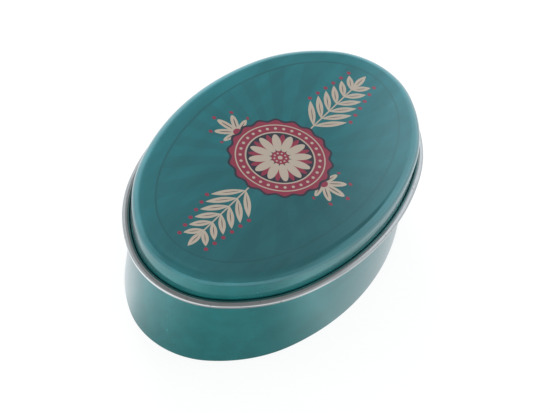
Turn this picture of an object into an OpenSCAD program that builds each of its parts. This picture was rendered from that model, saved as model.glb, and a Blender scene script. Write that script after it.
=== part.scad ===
// Oval tin box with a slip-over lid, in millimetres, stood on the plane z = 0.
// The plan is an oval of eight tangent arcs that follows an ellipse: two ends, four haunches and two sides.
// The origin is under the middle of the tin, +X runs along its length and +Z is up.

/* [Tin] */
// Length of the body over its wall
body_l = 142; // [120:1:170]
// Width of the body over its wall
body_w = 92; // [76:1:104]
// Overall height, from the foot to the top of the closed lid
tin_h = 50; // [36:0.5:90]
// Thickness of the tinplate sheet
sheet = 0.28; // [0.2:0.01:0.34]
// End radius of the plan, as a multiple of the end radius of the ellipse
end_fullness = 1.05; // [1.02:0.005:1.08]

/* [Lid] */
// Height of the lid, from its top to the underside of its curl
lid_h = 14.3; // [8:0.1:24]
// Radius of the rounded shoulder of the lid
shoulder_r = 3.8; // [2.6:0.1:6]
// Clearance between the skirt of the lid and the wall of the body
lid_gap = 0.8; // [0.2:0.05:0.9]
// Clearance between the shoulder of the lid and the hem that it sits on
seat_gap = 0.15; // [0.05:0.05:0.25]
// Outside diameter of the curl along the lower edge of the lid
curl_d = 3.2; // [2.4:0.1:5]
// Angle at which the curl ends, up and over from its outermost point
curl_end = 137; // [70:1:140]

/* [Wall edges] */
// Outside diameter of the inward hem along the top edge of the wall
hem_d = 2; // [1.4:0.1:3]
// Angle at which the hem ends, up, over and down from its outermost point
hem_end = 290; // [220:5:310]
// Width of the flat that the fold along the lower edge of the wall is pressed to
foot_flat = 0.24; // [0.1:0.02:0.3]
// Clearance from the leg that the fold turns up inside the tin to the bottom plate above it
leg_gap = 1; // [0.6:0.1:2]
// Width of the side seam on the inside of the wall
seam_w = 5; // [3:0.5:8]
// Width of the line that the side seam leaves on the outside of the wall
seam_line_w = 0.4; // [0.2:0.05:0.8]
// Clearance from the ends of the side seam to the hem and the bottom plate
seam_end_gap = 0.5; // [0.3:0.1:2]

/* [Bottom plate] */
// Height of the recess under the bottom plate
recess_h = 3.2; // [2.6:0.1:6]
// Outside radius of the turned-down edge of the bottom plate
plate_r = 0.9; // [0.5:0.05:1]
// Clearance on each side of the turned-down edge in the fold of the wall
fold_gap = 0.1; // [0.05:0.01:0.15]

/* [Hidden] */
$fn = 120;

// Colours of the printed side and of the bare side of the sheet
PRINTED = [0.18, 0.43, 0.43];
BARE = [0.72, 0.73, 0.74];

// The steps between the centres of the arcs are kept to whole microns.
function micron(length) = round(length * 1000) / 1000;

// The arcs change over on lines along the longest sides of a 3-4-5 and a 44-117-125 triangle.
END_WAY = [4, 3];
END_STEP = 5;
SIDE_WAY = [44, 117];
SIDE_STEP = 125;
end_turn = atan2(END_WAY[1], END_WAY[0]);
side_turn = atan2(SIDE_WAY[1], SIDE_WAY[0]);
haunch_half = (side_turn - end_turn) / 2;
// Angle by which two stretches of the same arc run into each other
lap_turn = 4;
// Width of the flat strip that is swept round the edge of a panel
panel_lap = 4;

half_l = body_l / 2;
half_w = body_w / 2;
// Sizes of the two triangles between the centres of the end, haunch and side arcs. They solve
// half_l = end_r + END_WAY.x * end_steps + SIDE_WAY.x * side_steps and
// half_w = end_r + end_rise * end_steps + side_rise * side_steps.
// The side triangle is the one that the asked end radius calls for, and the end radius then follows from it.
end_rise = END_STEP - END_WAY[1];
side_rise = SIDE_STEP - SIDE_WAY[1];
asked_r = end_fullness * half_w * half_w / half_l;
way_det = END_WAY[0] * side_rise - SIDE_WAY[0] * end_rise;
side_steps = micron(((half_w - asked_r) * END_WAY[0] - (half_l - asked_r) * end_rise) / way_det);
end_steps = micron((half_l - half_w - (SIDE_WAY[0] - side_rise) * side_steps) / (END_WAY[0] - end_rise));
end_r = half_w - end_rise * end_steps - side_rise * side_steps;
haunch_r = end_r + END_STEP * end_steps;
side_r = haunch_r + SIDE_STEP * side_steps;
haunch_c = [SIDE_WAY[0] * side_steps, -END_WAY[1] * end_steps];
end_c = [haunch_c[0] + END_WAY[0] * end_steps, 0];
side_c = [0, haunch_c[1] - SIDE_WAY[1] * side_steps];

// Places across the wall, outward from the outer face of the body
lid_in = lid_gap;
lid_out = lid_in + sheet;
curl_r = curl_d / 2;
curl_x = lid_in + curl_r;
hem_r = hem_d / 2;
// The fold wraps the edge of the bottom plate, so it is three sheets and two clearances wide.
fold_w = 3 * sheet + 2 * fold_gap;
fold_r = (fold_w - foot_flat) / 2;
plate_out = -sheet - fold_gap;

// Heights
curl_z = tin_h - lid_h + curl_r;
shoulder_z = tin_h - shoulder_r;
// The hem lies seat_gap from the inside of the shoulder, or from the flat top if the shoulder is tight.
hem_room = shoulder_r - sheet - hem_r - seat_gap;
hem_set = shoulder_r - sheet - hem_r - lid_gap;
hem_rise = sqrt(max(0, hem_room * hem_room - hem_set * hem_set));
hem_z = min(shoulder_z + hem_rise, tin_h - sheet - seat_gap - hem_r);
fold_h = recess_h - leg_gap;
plate_top = recess_h + sheet;
seam_low = plate_top + seam_end_gap;
seam_high = hem_z - hem_r - seam_end_gap;
// The seam adds two layers of sheet inside the wall, and its outer line is a third of the sheet deep.
seam_in = -3 * sheet;
seam_root = -sheet / 2;
seam_line_depth = sheet / 3;

// A section turned through two arcs that meet on a line along +X, the first below it and the second above
module arc_pair(first_r, first_turn, second_r, second_turn) {
  rotate_extrude(start = -first_turn, angle = first_turn)
    translate([first_r, 0]) children();
  translate([first_r - second_r, 0])
    rotate_extrude(start = 0, angle = second_turn)
      translate([second_r, 0]) children();
}

// A section, drawn outward from the outer face of the body, swept right round the oval
module round_the_oval() {
  for (end = [0, 1], side = [0, 1])
    mirror([end, 0, 0])
      mirror([0, side, 0]) {
        translate(end_c)
          rotate(end_turn)
            arc_pair(end_r, end_turn + lap_turn, haunch_r, haunch_half + lap_turn) children();
        translate(haunch_c)
          rotate(side_turn)
            arc_pair(haunch_r, haunch_half + lap_turn, side_r, 90 - side_turn + lap_turn) children();
      }
}

// A section swept over a short width at the middle of the far long side
module at_side_seam(width) {
  turn = 2 * asin(width / 2 / side_r);
  translate(side_c)
    rotate(90 - turn / 2)
      rotate_extrude(start = 0, angle = turn)
        translate([side_r, 0]) children();
}

// Filled outline of a flat top with a rounded corner and a straight drop
module cap_fill(start, edge, top, corner, low) {
  translate([start, low]) square([edge - corner - start, top - low]);
  translate([start, low]) square([edge - start, top - corner - low]);
  translate([edge - corner, top - corner]) circle(corner);
}

// Sheet that runs flat, bends through a rounded corner and drops to its lower edge
module cap_section(edge, top, corner, low) {
  start = edge - corner - panel_lap;
  difference() {
    cap_fill(start, edge, top, corner, low);
    cap_fill(start - sheet, edge - sheet, top - sheet, corner - sheet, low - sheet);
  }
}

// Pressed panel: a flat middle, with the sheet round it bent down to a lower edge.
// A child section carries the sheet on from that edge.
module pressed_panel(edge, top, corner, low) {
  inset = edge - corner - panel_lap / 2;
  translate([0, 0, top - sheet])
    linear_extrude(sheet)
      polygon([for (turn = [0:10:350]) [(half_l + inset) * cos(turn), (half_w + inset) * sin(turn)]]);
  round_the_oval() {
    cap_section(edge, top, corner, low);
    children();
  }
}

// Rolled edge: a ring of sheet, open between two angles
module roll_section(radius, open_from, open_to) {
  open_mid = (open_from + open_to) / 2;
  difference() {
    circle(radius);
    circle(radius - sheet);
    polygon([[0, 0], for (turn = [open_from, open_mid, open_to]) 2 * radius * [cos(turn), sin(turn)]]);
  }
}

// Upright slot with two rounded lower corners, to the left of its own right-hand face
module foot_fill(width, top, corner) {
  translate([-width, corner]) square([width, top - corner]);
  translate([corner - width, 0]) square([width - 2 * corner, corner]);
  for (x = [corner - width, -corner])
    translate([x, corner]) circle(corner);
}

// Strip of the wall, from the leg of its folded foot to the end of its hem
module wall_section() {
  translate([-sheet, fold_h]) square([sheet, hem_z - fold_h]);
  translate([-hem_r, hem_z]) roll_section(hem_r, hem_end, 360);
  difference() {
    foot_fill(fold_w, fold_h, fold_r);
    translate([-sheet, sheet]) foot_fill(fold_w - 2 * sheet, fold_h, fold_r - sheet);
  }
}

// Slip-over lid: flat top, rounded shoulder and skirt, with its lower edge curled outward
module lid() {
  color(PRINTED)
    pressed_panel(lid_out, tin_h, shoulder_r, curl_z)
      translate([curl_x, curl_z])
        roll_section(curl_r, curl_end, 180);
}

// Wall of the body: a strip hemmed at the top, folded at the foot and closed by a seam at the back
module body_wall() {
  color(PRINTED) {
    difference() {
      round_the_oval() wall_section();
      at_side_seam(seam_line_w)
        translate([-seam_line_depth, seam_low]) square([sheet, seam_high - seam_low]);
    }
    at_side_seam(seam_w)
      translate([seam_in, seam_low]) square([seam_root - seam_in, seam_high - seam_low]);
  }
}

// Bottom plate: a flat panel whose edge turns down into the fold at the foot of the wall
module bottom_plate() {
  color(BARE)
    pressed_panel(plate_out, plate_top, plate_r, sheet + fold_gap);
}

lid();
body_wall();
bottom_plate();
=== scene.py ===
"""Oval tin box: a printed slip-over lid with a curled edge, a hemmed body and a pressed bottom."""

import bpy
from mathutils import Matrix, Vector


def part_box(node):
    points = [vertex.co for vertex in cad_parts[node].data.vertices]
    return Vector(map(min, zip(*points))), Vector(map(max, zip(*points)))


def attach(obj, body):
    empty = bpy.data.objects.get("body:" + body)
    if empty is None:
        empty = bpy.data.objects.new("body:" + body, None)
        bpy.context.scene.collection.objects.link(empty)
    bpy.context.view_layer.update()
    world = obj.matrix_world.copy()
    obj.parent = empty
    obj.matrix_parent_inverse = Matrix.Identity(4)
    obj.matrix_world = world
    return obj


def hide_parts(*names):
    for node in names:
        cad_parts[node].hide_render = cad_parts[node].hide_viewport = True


bl_info = {
    "name": "Oval Tin Box",
    "version": (1, 0, 0),
    "blender": (4, 5, 0),
    "location": "View3D > Sidebar > Tin Box",
    "description": "Models an oval printed tin box round its frame and sets the stage for its picture",
    "category": "Add Mesh",
}

import math

import bmesh
import bpy
from bpy.props import FloatProperty, FloatVectorProperty, PointerProperty
from mathutils import Matrix, Vector

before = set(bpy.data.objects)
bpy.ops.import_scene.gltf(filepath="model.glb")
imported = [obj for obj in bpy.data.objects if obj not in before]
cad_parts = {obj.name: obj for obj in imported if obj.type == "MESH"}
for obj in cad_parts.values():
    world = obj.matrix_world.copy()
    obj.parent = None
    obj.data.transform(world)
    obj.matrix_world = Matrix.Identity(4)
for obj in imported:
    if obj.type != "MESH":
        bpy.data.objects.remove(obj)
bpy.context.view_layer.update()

MM = 0.001
_, WALL_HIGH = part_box("body_wall")
LID_LOW, LID_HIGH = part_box("lid")
PLATE_LOW, PLATE_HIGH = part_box("bottom_plate")


def to_tenth(length):
    """A length from the frame, to the tenth of a millimetre that its mesh is true to."""
    return round(length / MM, 1) * MM


def length_size(name, description, default):
    """A property for a length in metres."""
    return FloatProperty(
        name=name, description=description, default=default, min=0, precision=5, unit="LENGTH"
    )


def turn_size(name, description, degrees):
    """A property for an angle."""
    return FloatProperty(
        name=name, description=description, default=math.radians(degrees), unit="ROTATION"
    )


def ink(name, description, *rgb):
    """A property for a colour, given as the linear light that it gives back."""
    return FloatVectorProperty(
        name=name, description=description, default=rgb, size=3, min=0, subtype="COLOR"
    )


def level(name, description, default):
    """A property for a plain number."""
    return FloatProperty(name=name, description=description, default=default, min=0)


class TinSizes(bpy.types.PropertyGroup):
    """Sizes of the tin, from the frame where its box gives them"""

    body_length: length_size("Body length", "Length over the wall", to_tenth(2 * WALL_HIGH.x))
    body_width: length_size("Body width", "Width over the wall", to_tenth(2 * WALL_HIGH.y))
    end_fullness: level("End fullness", "End radius of the plan against that of its ellipse", 1.05)
    height: length_size("Height", "Height of the closed tin", to_tenth(LID_HIGH.z))
    sheet: length_size("Sheet", "Thickness of the tinplate", 0.28 * MM)
    lid_height: length_size("Lid height", "Height with the curl", to_tenth(LID_HIGH.z - LID_LOW.z))
    shoulder_radius: length_size("Shoulder radius", "Radius of the rounded edge of the lid", 3.8 * MM)
    lid_gap: length_size("Lid gap", "Clearance from the skirt of the lid to the wall", 0.8 * MM)
    curl_width: length_size("Curl width", "Curl and lid gap", to_tenth(LID_HIGH.x - WALL_HIGH.x))
    curl_end: turn_size("Curl end", "Angle at which the curl ends, from its outermost point", 137)
    hem_diameter: length_size("Hem diameter", "Outside diameter of the hem on the wall", 2 * MM)
    hem_end: turn_size("Hem end", "Angle at which the hem ends, from its outermost point", 290)
    body_height: length_size("Body height", "Height of the wall with its hem", WALL_HIGH.z)
    fold_gap: length_size("Fold gap", "Clearance on each side of the plate in the fold", 0.1 * MM)
    foot_flat: length_size("Foot flat", "Width of the flat under the fold", 0.24 * MM)
    leg_height: length_size("Leg height", "Height of the leg that the fold turns up inside", 2.2 * MM)
    seam_width: length_size("Seam width", "Width of the side seam inside the wall", 5 * MM)
    seam_line: length_size("Seam line", "Width of the line of the side seam outside", 0.4 * MM)
    seam_gap: length_size("Seam gap", "Clearance at the ends of the side seam", 0.5 * MM)
    plate_radius: length_size("Plate radius", "Radius of the turned-down edge of the bottom plate", 0.9 * MM)
    plate_top: length_size("Plate top", "Height of the upper face of the bottom plate", PLATE_HIGH.z)
    plate_foot: length_size("Plate foot", "Height of the lower edge of the bottom plate", PLATE_LOW.z)


class TinColours(bpy.types.PropertyGroup):
    """Colours of the print and of the bare sheet"""

    # The lid's teal and its lit side are one ink: the ground is painted lighter towards +Y, painted light as
    # if lit from that side.
    ground: ink("Ground", "Teal that the near side of the lid is printed in", 0.012, 0.136, 0.149)
    ground_lit_side: ink("Pale ground", "Lighter teal that it shades into across the lid", 0.012, 0.235, 0.263)
    # A lighter copy of the lid's teal: painted light, as the upright walls are lit more than the lid's top.
    wall_ground_lit: ink("Body ground", "Lighter teal that the body is printed in", 0.014, 0.188, 0.191)
    ground_dark: ink("Dark ground", "Deeper teal of the line and the rays", 0.008, 0.108, 0.122)
    cream: ink("Cream", "Cream of the leaves, petals and beads", 0.52, 0.42, 0.33)
    crimson: ink("Crimson", "Crimson of the medallion and the berries", 0.28, 0.018, 0.052)
    navy: ink("Navy", "Dark blue of the rings and the disc", 0.014, 0.012, 0.030)
    tin: ink("Bare tin", "Bright tinplate where there is no print", 0.45, 0.445, 0.44)
    # Partly wear and partly painted shade: darker tin on the top of the curl, where its reflections are dim.
    tin_worn_shaded: ink("Worn tin", "Tinplate that hands have dulled, along the curl", 0.385, 0.385, 0.38)
    # Painted highlight: brighter tin along the lower outside of the curl, standing in for the reflection of
    # the bright floor.
    tin_highlight: ink("Bright tin", "Tinplate that stays bright, outside on the curl", 0.85, 0.85, 0.84)
    sheen: level("Sheen", "Share of the tinplate that shines through the teal ink", 0.5)


class StageSettings(bpy.types.PropertyGroup):
    """Where the camera stands, and the floor and the light"""

    azimuth: turn_size("Azimuth", "Turn of the camera round the tin from the -Y side", -62.914)
    elevation: turn_size("Elevation", "Height of the camera as an angle", 47.174)
    roll: turn_size("Roll", "Roll of the camera about its own line of sight", 10.954)
    distance: length_size("Distance", "From the camera to the point that it looks at", 914.0 * MM)
    target: FloatVectorProperty(
        name="Target",
        description="Point that the camera looks at",
        default=(-12.185 * MM, -8.043 * MM, 37.631 * MM),
        subtype="XYZ",
        unit="LENGTH",
    )
    lens: level("Lens", "Focal length of the camera in millimetres on a 36 mm wide picture", 153.93)
    floor: ink("Floor", "Paper that the tin stands on", 0.95, 0.95, 0.95)
    floor_shine: ink("Floor shine", "Tone of the paper as the shine of the tin shows it", 0.94, 1.0, 1.04)
    # Painted shadows of the tin on the paper, as its shine shows them: how bright the paper is in each.
    front_shade: level("Front shade", "Brightness that the shine shows in the paper in front", 0.16)
    right_shade: level("Right shade", "Brightness that the shine shows in the paper to the right", 0.6)
    left_shade: level("Left shade", "Brightness that the shine shows in the paper to the left", 0.73)
    room_front: ink("Front of the room", "Light from behind the camera", 0.40, 0.405, 0.41)
    room_back: ink("Back of the room", "Light from behind the tin", 1.20, 1.30, 1.38)
    overhead: ink("Overhead", "Light from overhead", 0.38, 0.40, 0.41)
    screen: ink("Screen", "Light of the large screen to the right and behind", 1.42, 1.57, 1.69)
    front_power: level("Front power", "Power of the soft lamp beside the camera, in watts", 15.0)
    back_power: level("Back power", "Power of the soft lamp behind the tin, in watts", 4.0)


# Section and sweep

# The arcs change over on lines along the longest sides of a 3-4-5 and a 44-117-125 triangle.
END_TURN = math.atan2(3, 4)
SIDE_TURN = math.atan2(117, 44)
# Length of a step round the plan and turn of a step round a bend
SWEEP_STEP = 1.5 * MM
SECTION_TURN = math.radians(6)
# How near two points are when they count as one, and as level with each other
SAME_POINT = 0.002 * MM
SAME_LEVEL = 0.01 * MM
# Width of the strips beside a bend, and the most of a line that each may take
EDGE_STRIP = 0.4 * MM
EDGE_STRIP_SHARE = 0.25
# Width of the flat that is swept round a panel, and of the rings in the face that fills it
PANEL_EDGE = 6 * MM
PANEL_RINGS = (7 * MM, 8 * MM)
# Turn between two faces past which their edge is left sharp
SHARP_TURN = math.radians(30)
# The seam: its steps across, the layers of sheet that it adds inside and the rounding of their edges
SEAM_STEPS = 6
SEAM_LAYERS = 2
SEAM_EDGE_RADIUS = 0.15 * MM
SEAM_EDGE_STEPS = 3
# Depth of the line that the seam leaves outside, as a share of the sheet
SEAM_LINE_DEPTH = 1 / 3
# Axes that turn a spin anticlockwise in the plan and in a section
PLAN_AXIS = (0, 0, -1)
SECTION_AXIS = (0, 1, 0)


def oval_stretches(sizes):
    """The arcs of the plan, anticlockwise from the +X end: the centre, turn and radius of each."""
    half_l = sizes.body_length / 2
    half_w = sizes.body_width / 2
    end_r = sizes.end_fullness * half_w * half_w / half_l
    rest_l = half_l - end_r
    rest_w = half_w - end_r
    end_rise = 1 - math.sin(END_TURN)
    side_rise = 1 - math.sin(SIDE_TURN)
    spread = math.cos(END_TURN) * side_rise - math.cos(SIDE_TURN) * end_rise
    to_haunch = (rest_l * side_rise - rest_w * math.cos(SIDE_TURN)) / spread
    to_side = (rest_w * math.cos(END_TURN) - rest_l * end_rise) / spread
    haunch_r = end_r + to_haunch
    side_r = haunch_r + to_side
    haunch_x = to_side * math.cos(SIDE_TURN)
    haunch_y = -to_haunch * math.sin(END_TURN)
    haunch_turn = SIDE_TURN - END_TURN
    half_side = math.pi / 2 - SIDE_TURN
    quarter = [
        (half_l - end_r, 0, END_TURN, end_r),
        (haunch_x, haunch_y, haunch_turn, haunch_r),
        (0, half_w - side_r, half_side, side_r),
    ]
    stretches = list(quarter)
    stretches += [(-x, y, turn, radius) for x, y, turn, radius in reversed(quarter)]
    stretches += [(-x, -y, turn, radius) for x, y, turn, radius in quarter]
    stretches += [(x, -y, turn, radius) for x, y, turn, radius in reversed(quarter)]
    return [(Vector((x, y, 0)), turn, radius) for x, y, turn, radius in stretches]


def begin_section(name, x, z):
    """Add a small plane and merge it to the one point that a section is drawn on from, in edit mode."""
    bpy.ops.object.select_all(action="DESELECT")
    bpy.ops.mesh.primitive_plane_add(size=MM, location=(x, 0, z))
    bpy.ops.object.transform_apply(location=True, rotation=True, scale=True)
    piece = bpy.context.active_object
    piece.name = name
    piece.data.name = name
    bpy.ops.object.mode_set(mode="EDIT")
    bpy.ops.mesh.select_mode(type="VERT")
    bpy.ops.mesh.select_all(action="SELECT")
    bpy.ops.mesh.merge(type="CENTER")
    return piece


def draw_line(across, up):
    """Draw the section on in a straight line."""
    bpy.ops.mesh.extrude_region_move(TRANSFORM_OT_translate={"value": (across, 0, up)})


def draw_strip(across, up):
    """Draw a straight line with a narrow strip at either end, so that the bends beside it shade cleanly."""
    length = math.hypot(across, up)
    share = min(EDGE_STRIP / length, EDGE_STRIP_SHARE)
    for part in (share, 1 - 2 * share, share):
        draw_line(across * part, up * part)


def draw_bend(centre_x, centre_z, turn):
    """Draw the section on round a bend, anticlockwise where the turn is positive."""
    steps = math.ceil(abs(turn) / SECTION_TURN)
    bpy.ops.mesh.spin(steps=steps, angle=turn, center=(centre_x, 0, centre_z), axis=SECTION_AXIS)


def sweep_round(stretches):
    """Spin the whole section round the arcs of the plan and weld it where it closes."""
    bpy.ops.mesh.select_all(action="SELECT")
    for centre, turn, radius in stretches:
        steps = max(1, round(turn * radius / SWEEP_STEP))
        bpy.ops.mesh.spin(steps=steps, angle=turn, center=centre, axis=PLAN_AXIS)
    bpy.ops.mesh.select_all(action="SELECT")
    bpy.ops.mesh.remove_doubles(threshold=SAME_POINT)


def select_where(piece, kind, wanted):
    """In edit mode, select just the vertices, edges or faces that pass a test."""
    bpy.ops.mesh.select_mode(type=kind)
    bpy.ops.mesh.select_all(action="DESELECT")
    mesh = bmesh.from_edit_mesh(piece.data)
    group = {"VERT": mesh.verts, "EDGE": mesh.edges, "FACE": mesh.faces}[kind]
    chosen = 0
    for part in group:
        if wanted(part):
            part.select_set(True)
            chosen += 1
    mesh.select_flush_mode()
    bmesh.update_edit_mesh(piece.data)
    if not chosen:
        raise RuntimeError(f"{piece.name}: nothing to select")


def fill_panel(piece, height):
    """Fill the opening in a panel at a height, and set rings into the new face."""
    select_where(
        piece,
        "EDGE",
        lambda edge: edge.is_boundary and all(abs(v.co.z - height) < SAME_LEVEL for v in edge.verts),
    )
    bpy.ops.mesh.edge_face_add()
    select_where(piece, "FACE", lambda face: len(face.verts) > 4)
    for width in PANEL_RINGS:
        bpy.ops.mesh.inset(thickness=width)


def face_outwards(piece, outward):
    """Turn the faces of an open sheet alike, so that the one furthest outward points that way."""
    bpy.ops.mesh.select_all(action="SELECT")
    bpy.ops.mesh.normals_make_consistent(inside=False)
    mesh = bmesh.from_edit_mesh(piece.data)
    outermost = max(mesh.faces, key=lambda face: outward.dot(face.calc_center_median()))
    if outermost.normal.dot(outward) < 0:
        bpy.ops.mesh.flip_normals()
    bpy.ops.object.mode_set(mode="OBJECT")


def apply_modifier(piece, kind, **settings):
    """Add a modifier, set it and apply it."""
    bpy.ops.object.modifier_add(type=kind)
    modifier = piece.modifiers[-1]
    for setting, value in settings.items():
        setattr(modifier, setting, value)
    bpy.ops.object.modifier_apply(modifier=modifier.name)


def give_thickness(piece, sheet):
    """Thicken a sheet inwards. Its inner side and its raw edges take the next material."""
    apply_modifier(
        piece,
        "SOLIDIFY",
        thickness=sheet,
        offset=-1,
        use_even_offset=True,
        use_quality_normals=True,
        material_offset=1,
        material_offset_rim=1,
    )


def smooth():
    """Shade the bends of the selected piece smooth and leave the raw edges sharp."""
    bpy.ops.object.shade_smooth_by_angle(angle=SHARP_TURN)


def place(piece, body, slot, *nodes):
    """Let a piece ride on its body in place of the frame's own solids."""
    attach(piece, body)
    if nodes:
        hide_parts(*nodes)


# Node trees

# Nodes in a column of a tree, and the steps from column to column and from row to row
COLUMN_NODES = 12
COLUMN_STEP = 200
ROW_STEP = 160


class Wire:
    """A number in a node tree that can be reckoned with."""

    def __init__(self, tree, socket):
        self.tree = tree
        self.socket = socket

    def run(self, operation, *others):
        """The result of an operation on this number and others."""
        node = add_node(self.tree, "ShaderNodeMath", operation=operation)
        for socket, value in zip(node.inputs, (self, *others)):
            feed(self.tree, socket, value)
        return Wire(self.tree, node.outputs[0])

    def __add__(self, other):
        return self.run("ADD", other)

    def __sub__(self, other):
        return self.run("SUBTRACT", other)

    def __mul__(self, other):
        return self.run("MULTIPLY", other)

    def __truediv__(self, other):
        return self.run("DIVIDE", other)

    def __pow__(self, other):
        return self.run("POWER", other)

    def __abs__(self):
        return self.run("ABSOLUTE")

    def most(self, other):
        """The greater of this number and another."""
        return self.run("MAXIMUM", other)

    def least(self, other):
        """The lesser of this number and another."""
        return self.run("MINIMUM", other)

    def ramp(self, start, end, low=0.0, high=1.0):
        """Rise smoothly from low to high as this number goes from start to end."""
        node = add_node(self.tree, "ShaderNodeMapRange", interpolation_type="SMOOTHSTEP")
        ends = {"Value": self, "From Min": start, "From Max": end, "To Min": low, "To Max": high}
        for name, value in ends.items():
            feed(self.tree, node.inputs[name], value)
        return Wire(self.tree, node.outputs["Result"])


def add_node(tree, kind, **settings):
    """Add a node beside the last one and set it."""
    node = tree.nodes.new(kind)
    column, row = divmod(len(tree.nodes), COLUMN_NODES)
    node.location = (column * COLUMN_STEP, -row * ROW_STEP)
    for setting, value in settings.items():
        setattr(node, setting, value)
    return node


def feed(tree, socket, value):
    """Link a wire or an output to a socket, or set the socket to a plain value."""
    if isinstance(value, Wire):
        tree.links.new(value.socket, socket)
    elif isinstance(value, bpy.types.NodeSocket):
        tree.links.new(value, socket)
    else:
        socket.default_value = value


def rgba(colour):
    """A colour with full cover."""
    return (*colour, 1.0)


def mix_ink(tree, share, first, second):
    """Lay the second colour over the first by a share."""
    node = add_node(tree, "ShaderNodeMix", data_type="RGBA")
    feed(tree, node.inputs["Factor"], share)
    colours = [socket for socket in node.inputs if socket.type == "RGBA"]
    for socket, colour in zip(colours, (first, second)):
        feed(tree, socket, colour if isinstance(colour, bpy.types.NodeSocket) else rgba(colour))
    return next(socket for socket in node.outputs if socket.type == "RGBA")


def noise(tree, spot, patches, detail=2.0, roughness=0.5):
    """Soft noise of about so many patches to the metre, in all directions or along each axis."""
    if isinstance(patches, tuple):
        spot, patches = stretched(tree, spot, patches), 1.0
    node = add_node(tree, "ShaderNodeTexNoise")
    inputs = {"Vector": spot, "Scale": patches, "Detail": detail, "Roughness": roughness}
    for name, value in inputs.items():
        feed(tree, node.inputs[name], value)
    return Wire(tree, node.outputs["Fac"])


def stretched(tree, vector, scale):
    """Coordinates stretched by a factor along each axis."""
    node = add_node(tree, "ShaderNodeMapping")
    feed(tree, node.inputs["Vector"], vector)
    feed(tree, node.inputs["Scale"], scale)
    return node.outputs["Vector"]


def new_finish(name):
    """A new material, with its tree, its shader and the Object coordinates of its piece."""
    material = bpy.data.materials.new(name)
    material.use_nodes = True
    tree = material.node_tree
    shader = next(node for node in tree.nodes if node.type == "BSDF_PRINCIPLED")
    coordinates = add_node(tree, "ShaderNodeTexCoord")
    return material, tree, shader, coordinates.outputs["Object"]


def in_mm(tree, spot, names):
    """The named coordinates of a place, in millimetres."""
    axes = add_node(tree, "ShaderNodeSeparateXYZ")
    feed(tree, axes.inputs[0], spot)
    return [Wire(tree, axes.outputs[name]) / MM for name in names]


def toned(colour, share):
    """A colour made darker or lighter."""
    return [channel * share for channel in colour]


def bump(tree, shader, height, distance, strength=1.0):
    """Raise the surface by a height, over a distance in metres."""
    node = add_node(tree, "ShaderNodeBump")
    feed(tree, node.inputs["Height"], height)
    feed(tree, node.inputs["Distance"], distance)
    feed(tree, node.inputs["Strength"], strength)
    feed(tree, shader.inputs["Normal"], node.outputs["Normal"])


# Bare tin

# Stretches of a noise that a change of tone or gloss runs over
MIDDLING = (0.3, 0.7)
WIDE = (0.25, 0.75)

# Patches to the metre, in all directions or along each axis
TIN_GRAIN = (40, 2600, 2600)
TIN_CLOUDS = 60.0
TIN_SCUFFS = (900, 160, 500)
CURL_CLOUDS = 90.0
CURL_LINES = (60, 60, 2400)
CURL_SPOTS = 420.0
CURL_NICKS = (1100, 1100, 500)
# Tones that clouds and grain bring about, and the stretch of them that runs from dull to bright
CLOUD_TONES = (0.90, 1.0)
GRAIN_TONES = (0.93, 1.0)
DULL_TO_BRIGHT = (0.8, 1.0)
# Noise at which a mark sets in and is full
SCUFF_NOISE = (0.66, 0.74)
LINE_NOISE = (0.56, 0.66)
SPOT_NOISE = (0.60, 0.72)
NICK_NOISE = (0.70, 0.76)
# Share of dull tin in a full mark
SCUFF_SHARE = 0.25
LINE_SHARE = 0.35
SPOT_SHARE = 0.3
NICK_SHARE = 0.8
# Tone of dull tin against the tin round it
DULL_TIN = 0.72
DULL_CURL = 0.45
# Roughness from patch to patch, and what marks add to it
TIN_ROUGHNESS = (0.12, 0.18)
CURL_ROUGHNESS = (0.06, 0.11)
SCUFF_ROUGHNESS = 0.1
MARK_ROUGHNESS = 0.12
# Heights of the bumps, and the parts that clouds and nicks have in them
TIN_BUMP = 0.01 * MM
CURL_BUMP = 0.02 * MM
CLOUD_BUMP = 2.0
NICK_BUMP = 1.5
# Heights in millimetres over which the finish changes: above the curl, and above the middle of the curl,
# below which the curl has a painted highlight
CURL_FADE = 0.4
CURL_HIGHLIGHT = (0.2, 0.6)


def bare_tin(colours):
    """Bright tinplate: fine rolling grain along the sheet, cloudy patches of gloss and a few scuffs."""
    material, tree, shader, spot = new_finish("bare_tin")
    grain = noise(tree, spot, TIN_GRAIN, detail=3.0, roughness=0.6)
    clouds = noise(tree, spot, TIN_CLOUDS, detail=3.0)
    scuffs = noise(tree, spot, TIN_SCUFFS).ramp(*SCUFF_NOISE)
    shade = clouds.ramp(*MIDDLING, *CLOUD_TONES) * grain.ramp(*WIDE, *GRAIN_TONES)
    dulled = toned(colours.tin, DULL_TIN)
    tone = mix_ink(tree, shade.ramp(*DULL_TO_BRIGHT), dulled, colours.tin)
    feed(tree, shader.inputs["Base Color"], mix_ink(tree, scuffs * SCUFF_SHARE, tone, dulled))
    shader.inputs["Metallic"].default_value = 1.0
    roughness = clouds.ramp(*WIDE, *TIN_ROUGHNESS) + scuffs * SCUFF_ROUGHNESS
    feed(tree, shader.inputs["Roughness"], roughness)
    bump(tree, shader, grain + clouds * CLOUD_BUMP, TIN_BUMP, strength=0.6)
    return material


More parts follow.
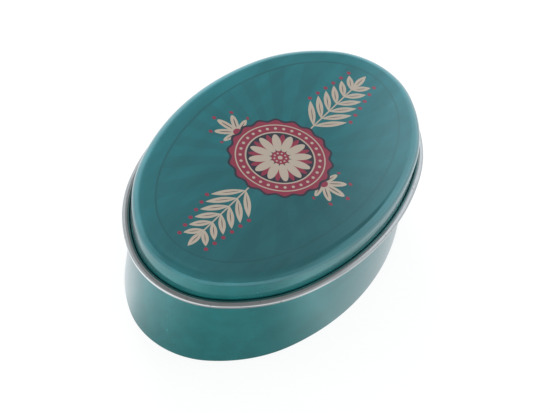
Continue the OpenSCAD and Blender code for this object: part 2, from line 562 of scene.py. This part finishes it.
def lid_tin(colours, curl_top, curl_middle):
    """The bare side of the lid. Its curl is darker on top, worn and with painted shade, and has a painted
    highlight along its lower outside, with lines, spots and nicks.
    """
    material, tree, shader, spot = new_finish("lid_tin")
    (height,) = in_mm(tree, spot, "Z")
    # On the curl the tin is painted darker on top, partly wear and partly painted shade; the lines, spots
    # and nicks are wear.
    on_curl = height.ramp(curl_top, curl_top + CURL_FADE, 1.0, 0.0)
    clouds = noise(tree, spot, CURL_CLOUDS, detail=3.0)
    lines = noise(tree, spot, CURL_LINES).ramp(*LINE_NOISE)
    spots = noise(tree, spot, CURL_SPOTS, detail=3.0, roughness=0.6).ramp(*SPOT_NOISE)
    nicks = noise(tree, spot, CURL_NICKS, detail=1.0).ramp(*NICK_NOISE)
    marks = (lines * LINE_SHARE).most(spots * SPOT_SHARE).most(nicks * NICK_SHARE) * on_curl
    highlight_low, highlight_high = (curl_middle + rise for rise in CURL_HIGHLIGHT)
    # Painted highlight: the lower outside of the curl is painted bright, standing in for the floor's
    # reflection.
    outside = height.ramp(highlight_low, highlight_high, 1.0, 0.0)
    curl = mix_ink(tree, outside, colours.tin_worn_shaded, colours.tin_highlight)
    tone = mix_ink(tree, on_curl, colours.tin, curl)
    dulled = toned(colours.tin_worn_shaded, DULL_CURL)
    feed(tree, shader.inputs["Base Color"], mix_ink(tree, marks, tone, dulled))
    shader.inputs["Metallic"].default_value = 1.0
    roughness = clouds.ramp(*MIDDLING, *CURL_ROUGHNESS) + marks * MARK_ROUGHNESS
    feed(tree, shader.inputs["Roughness"], roughness)
    bump(tree, shader, clouds - nicks * NICK_BUMP, CURL_BUMP, strength=0.5)
    return material


# Printed tin

# Patches to the metre, in all directions or along each axis
INK_STREAKS = (30, 160, 160)
INK_CLOUDS = 24.0
VARNISH_RIPPLES = 260.0
VARNISH_RUBS = 70.0
FOOT_RUBS = 900.0
# Noise at which the rubbed patches set in and are full
VARNISH_RUB_NOISE = (0.4, 0.75)
FOOT_RUB_NOISE = (0.56, 0.66)
# Tones that the ink runs between, and the parts that streaks and clouds have in it
INK_DEEP = 0.84
INK_PALE = 1.12
STREAK_SHARE = 0.6
CLOUD_SHARE = 0.4
# Roughness of the ink, what rubbing adds to it, and that of the varnish
INK_ROUGHNESS = 0.09
RUBBED_ROUGHNESS = 0.09
VARNISH_ROUGHNESS = 0.03
VARNISH_BUMP = 0.004 * MM
# From here on in millimetres: half the blur of a printed edge, and of the line where the print stops
EDGE_BLUR = 0.05
PRINT_BLUR = 0.1
# Slope that keeps the middle of an ellipse from dividing by nothing
LEAST_SLOPE = 0.001
# How full a leaf is, as the power that its outline is raised to, and how far its outline is drawn in
LEAF_FULLNESS = 0.8
LEAF_TRIM = 0.1
# Heights between which the rub along the foot fades out
FOOT_RUB_FADE = (0.12, 0.5)
# Half the length and width of the field with the rays, and half the width of the line round it
FIELD = (63, 38)
FIELD_LINE = 0.4
FIELD_LINE_SHARE = 0.6
RAYS = 22
RAY_BLUR = 0.1
RAY_SHARE = 0.22
# The ground is painted lighter along +Y, and along +X by this much of that, from one distance to the other:
# painted light, as if the lid were lit from that side
LIGHTER_SLANT = 0.2
LIGHTER_SPAN = (-60, 60)
# Depths under the top between which the lid takes the teal of the body, against its shoulder radius, so that
# the upright skirt is painted lighter than the top as painted light
SKIRT_TEAL = (1.3, 0.8)


def soft_ground(tree, spot, teal):
    """Teal ground of the print, with the slight streaks and clouds that a rolled ink has."""
    streaks = noise(tree, spot, INK_STREAKS, detail=3.0, roughness=0.6)
    clouds = noise(tree, spot, INK_CLOUDS)
    share = streaks.ramp(*MIDDLING) * STREAK_SHARE + clouds.ramp(*MIDDLING) * CLOUD_SHARE
    return mix_ink(tree, share, toned(teal, INK_DEEP), toned(teal, INK_PALE))


def varnish(tree, shader, spot):
    """Clear gloss over the print, with faint ripples and cloudy patches that are rubbed duller."""
    ripple = noise(tree, spot, VARNISH_RIPPLES)
    rubbed = noise(tree, spot, VARNISH_RUBS, detail=4.0, roughness=0.6).ramp(*VARNISH_RUB_NOISE)
    feed(tree, shader.inputs["Roughness"], rubbed * RUBBED_ROUGHNESS + INK_ROUGHNESS)
    shader.inputs["Coat Weight"].default_value = 1.0
    shader.inputs["Coat Roughness"].default_value = VARNISH_ROUGHNESS
    bump(tree, shader, ripple, VARNISH_BUMP, strength=0.4)


def printed_body(sizes, colours):
    """Plain teal print on the wall, in a lighter copy of the lid's teal that is painted light for the
    upright wall; it stops short of the hem and is rubbed through along the foot.
    """
    material, tree, shader, spot = new_finish("printed_body")
    (height,) = in_mm(tree, spot, "Z")
    print_top = (sizes.body_height - sizes.hem_diameter) / MM
    margin = height.ramp(print_top - PRINT_BLUR, print_top + PRINT_BLUR)
    rub = noise(tree, spot, FOOT_RUBS, detail=3.0).ramp(*FOOT_RUB_NOISE)
    bare = margin.most(rub * height.ramp(*FOOT_RUB_FADE, 1.0, 0.0))
    # Painted light: the wall takes the lighter teal of the upright walls.
    ground = soft_ground(tree, spot, colours.wall_ground_lit)
    feed(tree, shader.inputs["Base Color"], mix_ink(tree, bare, ground, colours.tin))
    feed(tree, shader.inputs["Metallic"], bare.most(colours.sheen))
    varnish(tree, shader, spot)
    return material


def inside(gap):
    """1 inside an outline and 0 outside it, from the distance in millimetres that it is outside."""
    return gap.ramp(-EDGE_BLUR, EDGE_BLUR, 1.0, 0.0)


def ellipse_gap(x, y, half_l, half_w):
    """Distance outside an ellipse about the origin."""
    across = x / half_l
    along = y / half_w
    slope = (across / half_l) ** 2 + (along / half_w) ** 2
    return (across * across + along * along - 1.0) / (slope.run("SQRT") * 2.0).most(LEAST_SLOPE)


def away(x, y):
    """Distance from the origin."""
    return (x * x + y * y).run("SQRT")


def polar(x, y):
    """Distance from the origin and angle round it."""
    return away(x, y), y.run("ARCTAN2", x)


def petals(radius, angle, count, middle, half_l, half_w, phase=0.0):
    """A ring of oval petals, or of round beads where the two half sizes are the same."""
    pitch = 2 * math.pi / count
    offset = (angle + phase).run("FLOORED_MODULO", pitch) - pitch / 2
    along = radius * offset.run("COSINE") - middle
    return inside(ellipse_gap(along, radius * offset.run("SINE"), half_l, half_w))


def leaf(along, across, length, half_w):
    """A pointed leaf that grows along from the origin."""
    share = (along / length).most(0.0).least(1.0)
    bulge = (share * math.pi).run("SINE").most(0.0) ** LEAF_FULLNESS
    return inside(abs(across) - bulge * half_w + LEAF_TRIM)


def lay_inks(tree, paint, layers):
    """Lay inks over a paint one after the other, each by its share."""
    for share, colour in layers:
        paint = mix_ink(tree, share, paint, colour)
    return paint


def medallion(tree, paint, radius, angle, colours):
    """A scalloped disc with a ring of beads round a twelve-petalled flower."""
    scallops, scallop_depth = 18.0, 0.6
    rim_r, disc_r = 20.6, 19.6
    ring_r, ring_half_w = 17.6, 0.25
    bead_count, bead_ring_r, bead_r = 30, 15.7, 0.62
    border_r, flower_r = 13.9, 13.3
    petal_count = 12
    back_petal = {"middle": 8.6, "half_l": 4.0, "half_w": 1.15}
    front_petal = {"middle": 7.9, "half_l": 4.6, "half_w": 1.75}
    eye_r, seed_count, seed_ring_r, seed_r, pip_r = 3.5, 9, 2.35, 0.38, 0.95
    edge = radius - (angle * scallops).run("COSINE") * scallop_depth
    half_petal = math.pi / petal_count
    layers = (
        (inside(edge - rim_r), colours.navy),
        (inside(edge - disc_r), colours.crimson),
        (inside(abs(radius - ring_r) - ring_half_w), colours.cream),
        (petals(radius, angle, bead_count, bead_ring_r, bead_r, bead_r), colours.cream),
        (inside(radius - border_r), colours.cream),
        (inside(radius - flower_r), colours.navy),
        (petals(radius, angle, petal_count, **back_petal, phase=half_petal), colours.crimson),
        (petals(radius, angle, petal_count, **front_petal), colours.cream),
        (inside(radius - eye_r), colours.crimson),
        (petals(radius, angle, seed_count, seed_ring_r, seed_r, seed_r), colours.cream),
        (inside(radius - pip_r), colours.cream),
    )
    return lay_inks(tree, paint, layers), layers[0][0]


def sprig(tree, paint, reach, rise, colours):
    """A stem along the length of the lid with pairs of leaves, a berry past each and a leaf at its tip."""
    lean = math.radians(40)
    start, pitch, pairs = 20.4, 5.4, 6
    stem_half_w = 0.3
    leaf_length, leaf_loss, least_length, leaf_half_w = 14.0, 1.15, 1.0, 1.5
    vein_start, vein_share, vein_half_w = 1.2, 0.7, 0.24
    berry_gap, berry_r = 1.4, 0.85
    end_leaf_back, end_leaf_length, end_vein_length = 1.5, 9.5, 6.5
    number = ((reach - rise / math.tan(lean) - start) / pitch).run("FLOOR")
    grown = inside(number - (pairs - 0.5)) * inside(number * -1.0 - 0.5)
    local = reach - (number + 0.5) * pitch - start
    along = local * math.cos(lean) + rise * math.sin(lean)
    across = rise * math.cos(lean) - local * math.sin(lean)
    length = (number * -leaf_loss + leaf_length).most(least_length)
    blade = leaf(along, across, length, leaf_half_w) * grown
    vein = leaf(along - vein_start, across, length * vein_share, vein_half_w) * grown
    berry = inside(away(across, along - length - berry_gap) - berry_r) * grown
    end = start + pairs * pitch
    stem = inside(rise - stem_half_w) * inside(abs(reach - (start + end) / 2) - (end - start) / 2)
    end_leaf = leaf(reach - end + end_leaf_back, rise, end_leaf_length, leaf_half_w)
    end_vein = leaf(reach - end, rise, end_vein_length, vein_half_w)
    green = stem.most(blade).most(end_leaf)
    layers = (
        (green, colours.cream),
        (vein.most(end_vein), colours.navy),
        (berry, colours.crimson),
    )
    return lay_inks(tree, paint, layers), green.most(berry)


def palmette(tree, paint, reach, rise, colours):
    """A fan of five leaves round a bud on each long side of the medallion, with a berry past each."""
    foot, shortening, half_turn = 20.4, 0.16, 1.75
    count, bud_r = 9, 1.9
    blade = {"middle": 5.6, "half_l": 4.4, "half_w": 1.5}
    vein = {"middle": 5.3, "half_l": 2.6, "half_w": 0.2}
    berry = {"middle": 11.6, "half_l": 0.85, "half_w": 0.85}
    radius, turn = polar(rise - foot, reach)
    spread = radius * (turn * turn * shortening + 1.0)
    fan = inside(abs(turn) - half_turn)
    phase = math.pi / count
    bud = inside(radius - bud_r)
    blades, veins, berries = (
        petals(spread, turn, count, **shape, phase=phase) * fan for shape in (blade, vein, berry)
    )
    layers = (
        (blades, colours.cream),
        (veins, colours.navy),
        (berries.most(bud), colours.crimson),
    )
    return lay_inks(tree, paint, layers), blades.most(berries).most(bud)


def printed_lid(sizes, colours):
    """The teal print with rays, a flower medallion, a sprig towards each end and a palmette on each side.

    The ground is painted lighter towards +Y, painted light as if the lid were lit from that side, and over
    the shoulder it turns to the lighter teal of the body, painted light for the upright skirt."""
    material, tree, shader, spot = new_finish("printed_lid")
    x, y, height = in_mm(tree, spot, "XYZ")
    radius, angle = polar(x, y)
    # Painted light: the ground is painted lighter towards +Y, as if the lid were lit from that side.
    across = (x * LIGHTER_SLANT + y).ramp(*LIGHTER_SPAN)
    near, far, skirt = (
        soft_ground(tree, spot, teal) for teal in (colours.ground, colours.ground_lit_side, colours.wall_ground_lit)
    )
    # Painted light: from the shoulder down, the skirt takes the lighter teal of the upright walls.
    low, high = ((sizes.height - sizes.shoulder_radius * depth) / MM for depth in SKIRT_TEAL)
    on_skirt = height.ramp(low, high, 1.0, 0.0)
    paint = mix_ink(tree, on_skirt, mix_ink(tree, across, near, far), skirt)
    edge = ellipse_gap(x, y, *FIELD)
    rays = (angle * RAYS).run("SINE").ramp(-RAY_BLUR, RAY_BLUR) * inside(edge) * RAY_SHARE
    line = inside(abs(edge) - FIELD_LINE) * FIELD_LINE_SHARE
    paint = mix_ink(tree, rays.most(line), paint, colours.ground_dark)
    paint, fans = palmette(tree, paint, abs(x), abs(y), colours)
    paint, sprigs = sprig(tree, paint, abs(x), abs(y), colours)
    paint, disc = medallion(tree, paint, radius, angle, colours)
    feed(tree, shader.inputs["Base Color"], paint)
    # The teal lets the tin shine through, and the inks of the ornament cover it.
    covered = fans.most(sprigs).most(disc)
    feed(tree, shader.inputs["Metallic"], covered.ramp(0.0, 1.0, colours.sheen, 0.0))
    varnish(tree, shader, spot)
    return material


def dress(piece, *finishes):
    """Give a piece its materials in the order of its slots."""
    for finish in finishes:
        piece.data.materials.append(finish)


def finish_once(name, make, *inputs):
    """The finish of that name, made the first time that it is asked for."""
    return bpy.data.materials.get(name) or make(*inputs)


# Pieces


class TIN_OT_lid(bpy.types.Operator):
    """Model the slip-over lid: flat top, rounded shoulder and skirt, with the lower edge curled outwards"""

    bl_idname = "tin.lid"
    bl_label = "Lid"

    def execute(self, context):
        sizes = context.scene.tin_sizes
        colours = context.scene.tin_colours
        wall = sizes.body_length / 2
        skirt = wall + sizes.lid_gap + sizes.sheet
        bend = sizes.shoulder_radius
        curl_r = (sizes.curl_width - sizes.lid_gap) / 2
        curl_x = wall + sizes.lid_gap + curl_r
        curl_z = sizes.height - sizes.lid_height + curl_r
        piece = begin_section("lid_shell", skirt - bend - PANEL_EDGE, sizes.height)
        draw_strip(PANEL_EDGE, 0)
        draw_bend(skirt - bend, sizes.height - bend, -math.pi / 2)
        draw_strip(0, curl_z - (sizes.height - bend))
        draw_bend(curl_x, curl_z, math.pi + sizes.curl_end)
        sweep_round(oval_stretches(sizes))
        fill_panel(piece, sizes.height)
        face_outwards(piece, Vector((0, 0, 1)))
        dress(piece, printed_lid(sizes, colours), lid_tin(colours, (curl_z + curl_r) / MM, curl_z / MM))
        give_thickness(piece, sizes.sheet)
        smooth()
        place(piece, "lid", "printed_tin", "lid")
        return {"FINISHED"}


class TIN_OT_body(bpy.types.Operator):
    """Model the wall of the body: folded at the foot, hemmed at the top and closed by a seam at the back"""

    bl_idname = "tin.body"
    bl_label = "Body Wall"

    def execute(self, context):
        sizes = context.scene.tin_sizes
        colours = context.scene.tin_colours
        wall = sizes.body_length / 2
        # The fold wraps the edge of the bottom plate, so it is three sheets and two gaps wide.
        fold = 3 * sizes.sheet + 2 * sizes.fold_gap
        fold_r = (fold - sizes.foot_flat) / 2
        hem_r = sizes.hem_diameter / 2
        hem_z = sizes.body_height - hem_r
        seam_low = sizes.plate_top + sizes.seam_gap
        seam_high = hem_z - hem_r - sizes.seam_gap
        piece = begin_section("body_shell", wall - fold, sizes.leg_height)
        draw_line(0, fold_r - sizes.leg_height)
        draw_bend(wall - fold + fold_r, fold_r, math.pi / 2)
        draw_line(sizes.foot_flat, 0)
        draw_bend(wall - fold_r, fold_r, math.pi / 2)
        draw_line(0, seam_low - fold_r)
        draw_line(0, seam_high - seam_low)
        draw_line(0, hem_z - seam_high)
        draw_bend(wall - hem_r, hem_z, sizes.hem_end)
        stretches = oval_stretches(sizes)
        # The third and fourth arcs meet at the middle of the far side, where the seam is.
        centre, turn, radius = stretches[2]
        line_turn = sizes.seam_line / 2 / radius
        stretches[2:4] = [
            (centre, turn - line_turn, radius),
            (centre, line_turn, radius),
            (centre, line_turn, radius),
            (centre, turn - line_turn, radius),
        ]
        sweep_round(stretches)
        select_where(
            piece,
            "VERT",
            lambda v: abs(v.co.x) < sizes.seam_line / 4
            and v.co.y > 0
            and seam_low - SAME_POINT < v.co.z < seam_high + SAME_POINT,
        )
        bpy.ops.transform.translate(value=(0, -sizes.sheet * SEAM_LINE_DEPTH, 0))
        face_outwards(piece, Vector((1, 0, 0)))
        tin = finish_once("bare_tin", bare_tin, colours)
        dress(piece, printed_body(sizes, colours), tin)
        give_thickness(piece, sizes.sheet)
        smooth()
        place(piece, "case", "printed_tin", "body_wall")

        seam = begin_section("seam_fold", 0, seam_low)
        bpy.ops.transform.translate(value=(0, sizes.body_width / 2 - sizes.sheet, 0))
        draw_line(0, seam_high - seam_low)
        # The strip is turned to one edge of the seam and spun back across it.
        seam_turn = sizes.seam_width / radius
        bpy.ops.mesh.select_all(action="SELECT")
        bpy.ops.transform.rotate(
            value=seam_turn / 2, orient_axis="Z", center_override=(centre.x, centre.y, 0)
        )
        bpy.ops.mesh.spin(steps=SEAM_STEPS, angle=seam_turn, center=centre, axis=(0, 0, 1))
        face_outwards(seam, Vector((0, 1, 0)))
        dress(seam, tin)
        apply_modifier(seam, "SOLIDIFY", thickness=SEAM_LAYERS * sizes.sheet, offset=-1)
        apply_modifier(
            seam, "BEVEL", width=SEAM_EDGE_RADIUS, segments=SEAM_EDGE_STEPS, limit_method="ANGLE"
        )
        smooth()
        place(seam, "case", "bare_tin")
        return {"FINISHED"}


class TIN_OT_bottom(bpy.types.Operator):
    """Model the bottom plate: a flat panel whose edge turns down into the fold of the wall"""

    bl_idname = "tin.bottom"
    bl_label = "Bottom Plate"

    def execute(self, context):
        sizes = context.scene.tin_sizes
        colours = context.scene.tin_colours
        edge = sizes.body_length / 2 - sizes.sheet - sizes.fold_gap
        bend = sizes.plate_radius
        piece = begin_section("bottom_panel", edge - bend - PANEL_EDGE, sizes.plate_top)
        draw_strip(PANEL_EDGE, 0)
        draw_bend(edge - bend, sizes.plate_top - bend, -math.pi / 2)
        draw_line(0, sizes.plate_foot - (sizes.plate_top - bend))
        sweep_round(oval_stretches(sizes))
        fill_panel(piece, sizes.plate_top)
        face_outwards(piece, Vector((0, 0, 1)))
        dress(piece, finish_once("bare_tin", bare_tin, colours))
        give_thickness(piece, sizes.sheet)
        smooth()
        place(piece, "case", "bare_tin", "bottom_plate")
        return {"FINISHED"}


# Stage


def turns(*degrees):
    """Angles in radians."""
    return tuple(math.radians(angle) for angle in degrees)


FLOOR_WIDTH = 12
FLOOR_ROUGHNESS = 0.9
# Share of white that the floor gives off where it is seen, and of its colour that takes light and shadow
FLOOR_GLOW = 0.87
FLOOR_SHADOW = 0.22
# Painted shadows of the tin in the floor's shine, in millimetres: the middle, and the distances where it is
# darkest and ends
FRONT_SPOT = (-65.0, -38.0, 15.0, 80.0)
RIGHT_SPOT = (20.0, -55.0, 25.0, 95.0)
LEFT_SPOT = (-35.0, 55.0, 15.0, 55.0)
# The room turns from its back to its front over these cosines, and to its top over these sines
ROOM_TURN = (-0.55, 0.95)
ROOM_CLIMB = (0.40, 0.74)
# The glow to the left and the screen to the right: the turns from straight behind the tin where each
# starts and ends, the sines at which the screen ends upwards, and how much the glow has of the room's back
GLOW_START = turns(-2, -6)
GLOW_END = turns(-90, -60)
GLOW_SHARE = 0.15
SCREEN_START = turns(1, 4.5)
SCREEN_END = turns(60, 95)
SCREEN_CLIMB = (0.69, 0.77)
# The turn of each lamp from the camera and its height as an angle
FRONT_LAMP = turns(12, 4)
BACK_LAMP = turns(205, 35)
LAMP_DISTANCE = 1.2
LAMP_WIDTH = 0.4
LAMP_AIM = Vector((0, 0, 25 * MM))
PICTURE_WIDTH = 36


def along_direction(tree, direction, way):
    """How nearly a direction points a given way, from -1 to 1."""
    node = add_node(tree, "ShaderNodeVectorMath", operation="DOT_PRODUCT")
    feed(tree, node.inputs[0], direction)
    feed(tree, node.inputs[1], way)
    return Wire(tree, node.outputs["Value"])


def heading(azimuth, elevation):
    """The way to a place round the tin, with the azimuth measured from the -Y side."""
    return Vector(
        (
            math.sin(azimuth) * math.cos(elevation),
            -math.cos(azimuth) * math.cos(elevation),
            math.sin(elevation),
        )
    )


def spot_shade(x, y, spot, darkest):
    """Brightness of the floor's shine round a painted shadow of the tin."""
    middle_x, middle_y, start, end = spot
    return away(x - middle_x, y - middle_y).ramp(start, end, darkest, 1.0)


def floor_finish(stage):
    """White paper, plain to the camera, with painted shadows of the tin in places in its shine, and with the
    real shadow kept.
    """
    material, tree, shader, place_on_floor = new_finish("floor_paper")
    light = add_node(tree, "ShaderNodeLightPath")
    camera, glossy, through = (
        Wire(tree, light.outputs[f"Is {ray} Ray"]) for ray in ("Camera", "Glossy", "Transmission")
    )
    seen = camera.most(glossy).most(through)
    x, y = in_mm(tree, place_on_floor, "XY")
    # Painted shadows: in the tin's shine, the paper is darker round three spots beside it.
    front = spot_shade(x, y, FRONT_SPOT, stage.front_shade)
    right = spot_shade(x, y, RIGHT_SPOT, stage.right_shade)
    left = spot_shade(x, y, LEFT_SPOT, stage.left_shade)
    shade = front.least(right).least(left)
    shadowed = toned(stage.floor, FLOOR_SHADOW)
    feed(tree, shader.inputs["Base Color"], mix_ink(tree, seen, stage.floor, shadowed))
    shader.inputs["Roughness"].default_value = FLOOR_ROUGHNESS
    shader.inputs["Specular IOR Level"].default_value = 0.0
    glow = mix_ink(tree, camera, stage.floor_shine, (1.0, 1.0, 1.0))
    feed(tree, shader.inputs["Emission Color"], glow)
    feed(tree, shader.inputs["Emission Strength"], seen * shade.most(camera) * FLOOR_GLOW)
    return material


def set_surroundings(stage):
    """A room, dim in front and overhead, with a bright back, a screen to the right and a glow to the left.

    The camera sees plain white where it looks past the floor."""
    world = bpy.data.worlds.new("studio")
    bpy.context.scene.world = world
    world.use_nodes = True
    tree = world.node_tree
    sky = next(node for node in tree.nodes if node.type == "BACKGROUND")
    way = add_node(tree, "ShaderNodeTexCoord").outputs["Generated"]
    to_camera = along_direction(tree, way, heading(stage.azimuth, 0))
    to_right = along_direction(tree, way, heading(stage.azimuth + math.pi / 2, 0))
    climb = along_direction(tree, way, (0, 0, 1))
    turn = to_right.run("ARCTAN2", to_camera * -1.0)
    tone = mix_ink(tree, to_camera.ramp(*ROOM_TURN), stage.room_back, stage.room_front)
    tone = mix_ink(tree, climb.ramp(*ROOM_CLIMB), tone, stage.overhead)
    in_glow = turn.ramp(*GLOW_START) * turn.ramp(*GLOW_END)
    tone = mix_ink(tree, in_glow * GLOW_SHARE, tone, stage.room_back)
    on_screen = turn.ramp(*SCREEN_START) * turn.ramp(*SCREEN_END, 1.0, 0.0)
    on_screen = on_screen * climb.ramp(*SCREEN_CLIMB, 1.0, 0.0)
    feed(tree, sky.inputs["Color"], mix_ink(tree, on_screen, tone, stage.screen))
    white = add_node(tree, "ShaderNodeBackground")
    feed(tree, white.inputs["Color"], (1.0, 1.0, 1.0, 1.0))
    light = add_node(tree, "ShaderNodeLightPath")
    blend = add_node(tree, "ShaderNodeMixShader")
    tree.links.new(light.outputs["Is Camera Ray"], blend.inputs[0])
    tree.links.new(sky.outputs[0], blend.inputs[1])
    tree.links.new(white.outputs[0], blend.inputs[2])
    output = next(node for node in tree.nodes if node.type == "OUTPUT_WORLD")
    tree.links.new(blend.outputs[0], output.inputs["Surface"])


def add_lamp(name, spot, power):
    """A square soft lamp at a spot, turned to the tin and left out of its shine."""
    bpy.ops.object.select_all(action="DESELECT")
    bpy.ops.object.light_add(type="AREA", location=spot)
    lamp = bpy.context.active_object
    lamp.name = name
    lamp.rotation_euler = (LAMP_AIM - spot).to_track_quat("-Z", "Y").to_euler()
    lamp.data.size = LAMP_WIDTH
    lamp.data.energy = power
    lamp.visible_glossy = False


def add_camera(stage):
    """The camera at its angle, rolled about its line of sight."""
    back = heading(stage.azimuth, stage.elevation)
    level_right = Vector((math.cos(stage.azimuth), math.sin(stage.azimuth), 0))
    level_up = back.cross(level_right)
    right = level_right * math.cos(stage.roll) + level_up * math.sin(stage.roll)
    up = level_up * math.cos(stage.roll) - level_right * math.sin(stage.roll)
    bpy.ops.object.camera_add()
    camera = bpy.context.active_object
    camera.name = "camera"
    camera.data.lens = stage.lens
    camera.data.sensor_width = PICTURE_WIDTH
    camera.data.sensor_fit = "HORIZONTAL"
    turned = Matrix((right, up, back)).transposed().to_4x4()
    camera.matrix_world = Matrix.Translation(Vector(stage.target) + back * stage.distance) @ turned
    return camera


class TIN_OT_stage(bpy.types.Operator):
    """Set the pale floor, the surroundings, the soft lamps and the camera"""

    bl_idname = "tin.stage"
    bl_label = "Stage"

    def execute(self, context):
        stage = context.scene.tin_stage
        bpy.ops.object.select_all(action="DESELECT")
        bpy.ops.mesh.primitive_plane_add(size=FLOOR_WIDTH)
        floor = context.active_object
        floor.name = "floor"
        dress(floor, floor_finish(stage))
        set_surroundings(stage)
        for name, (turn, climb), power in (
            ("front_lamp", FRONT_LAMP, stage.front_power),
            ("back_lamp", BACK_LAMP, stage.back_power),
        ):
            add_lamp(name, heading(stage.azimuth + turn, climb) * LAMP_DISTANCE, power)
        context.scene.camera = add_camera(stage)
        context.scene.view_settings.view_transform = "Standard"
        return {"FINISHED"}


class TIN_PT_panel(bpy.types.Panel):
    """The pieces of the tin and its stage"""

    bl_label = "Tin Box"
    bl_idname = "TIN_PT_panel"
    bl_space_type = "VIEW_3D"
    bl_region_type = "UI"
    bl_category = "Tin Box"

    def draw(self, context):
        for piece in PIECES:
            self.layout.operator(piece.bl_idname)
        for group in (context.scene.tin_sizes, context.scene.tin_colours, context.scene.tin_stage):
            column = self.layout.column()
            for name in group.__annotations__:
                column.prop(group, name)


PIECES = (TIN_OT_body, TIN_OT_bottom, TIN_OT_lid, TIN_OT_stage)
GROUPS = (TinSizes, TinColours, StageSettings)


def register():
    """Add the settings, the operators and the panel to Blender."""
    for group in (*GROUPS, *PIECES, TIN_PT_panel):
        bpy.utils.register_class(group)
    bpy.types.Scene.tin_sizes = PointerProperty(type=TinSizes)
    bpy.types.Scene.tin_colours = PointerProperty(type=TinColours)
    bpy.types.Scene.tin_stage = PointerProperty(type=StageSettings)


def unregister():
    """Take them out again."""
    for name in ("tin_sizes", "tin_colours", "tin_stage"):
        delattr(bpy.types.Scene, name)
    for group in reversed((*GROUPS, *PIECES, TIN_PT_panel)):
        bpy.utils.unregister_class(group)


def main():
    """Model the pieces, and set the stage."""
    register()
    bpy.ops.tin.body()
    bpy.ops.tin.bottom()
    bpy.ops.tin.lid()
    bpy.ops.tin.stage()


if __name__ == "__main__":
    main()
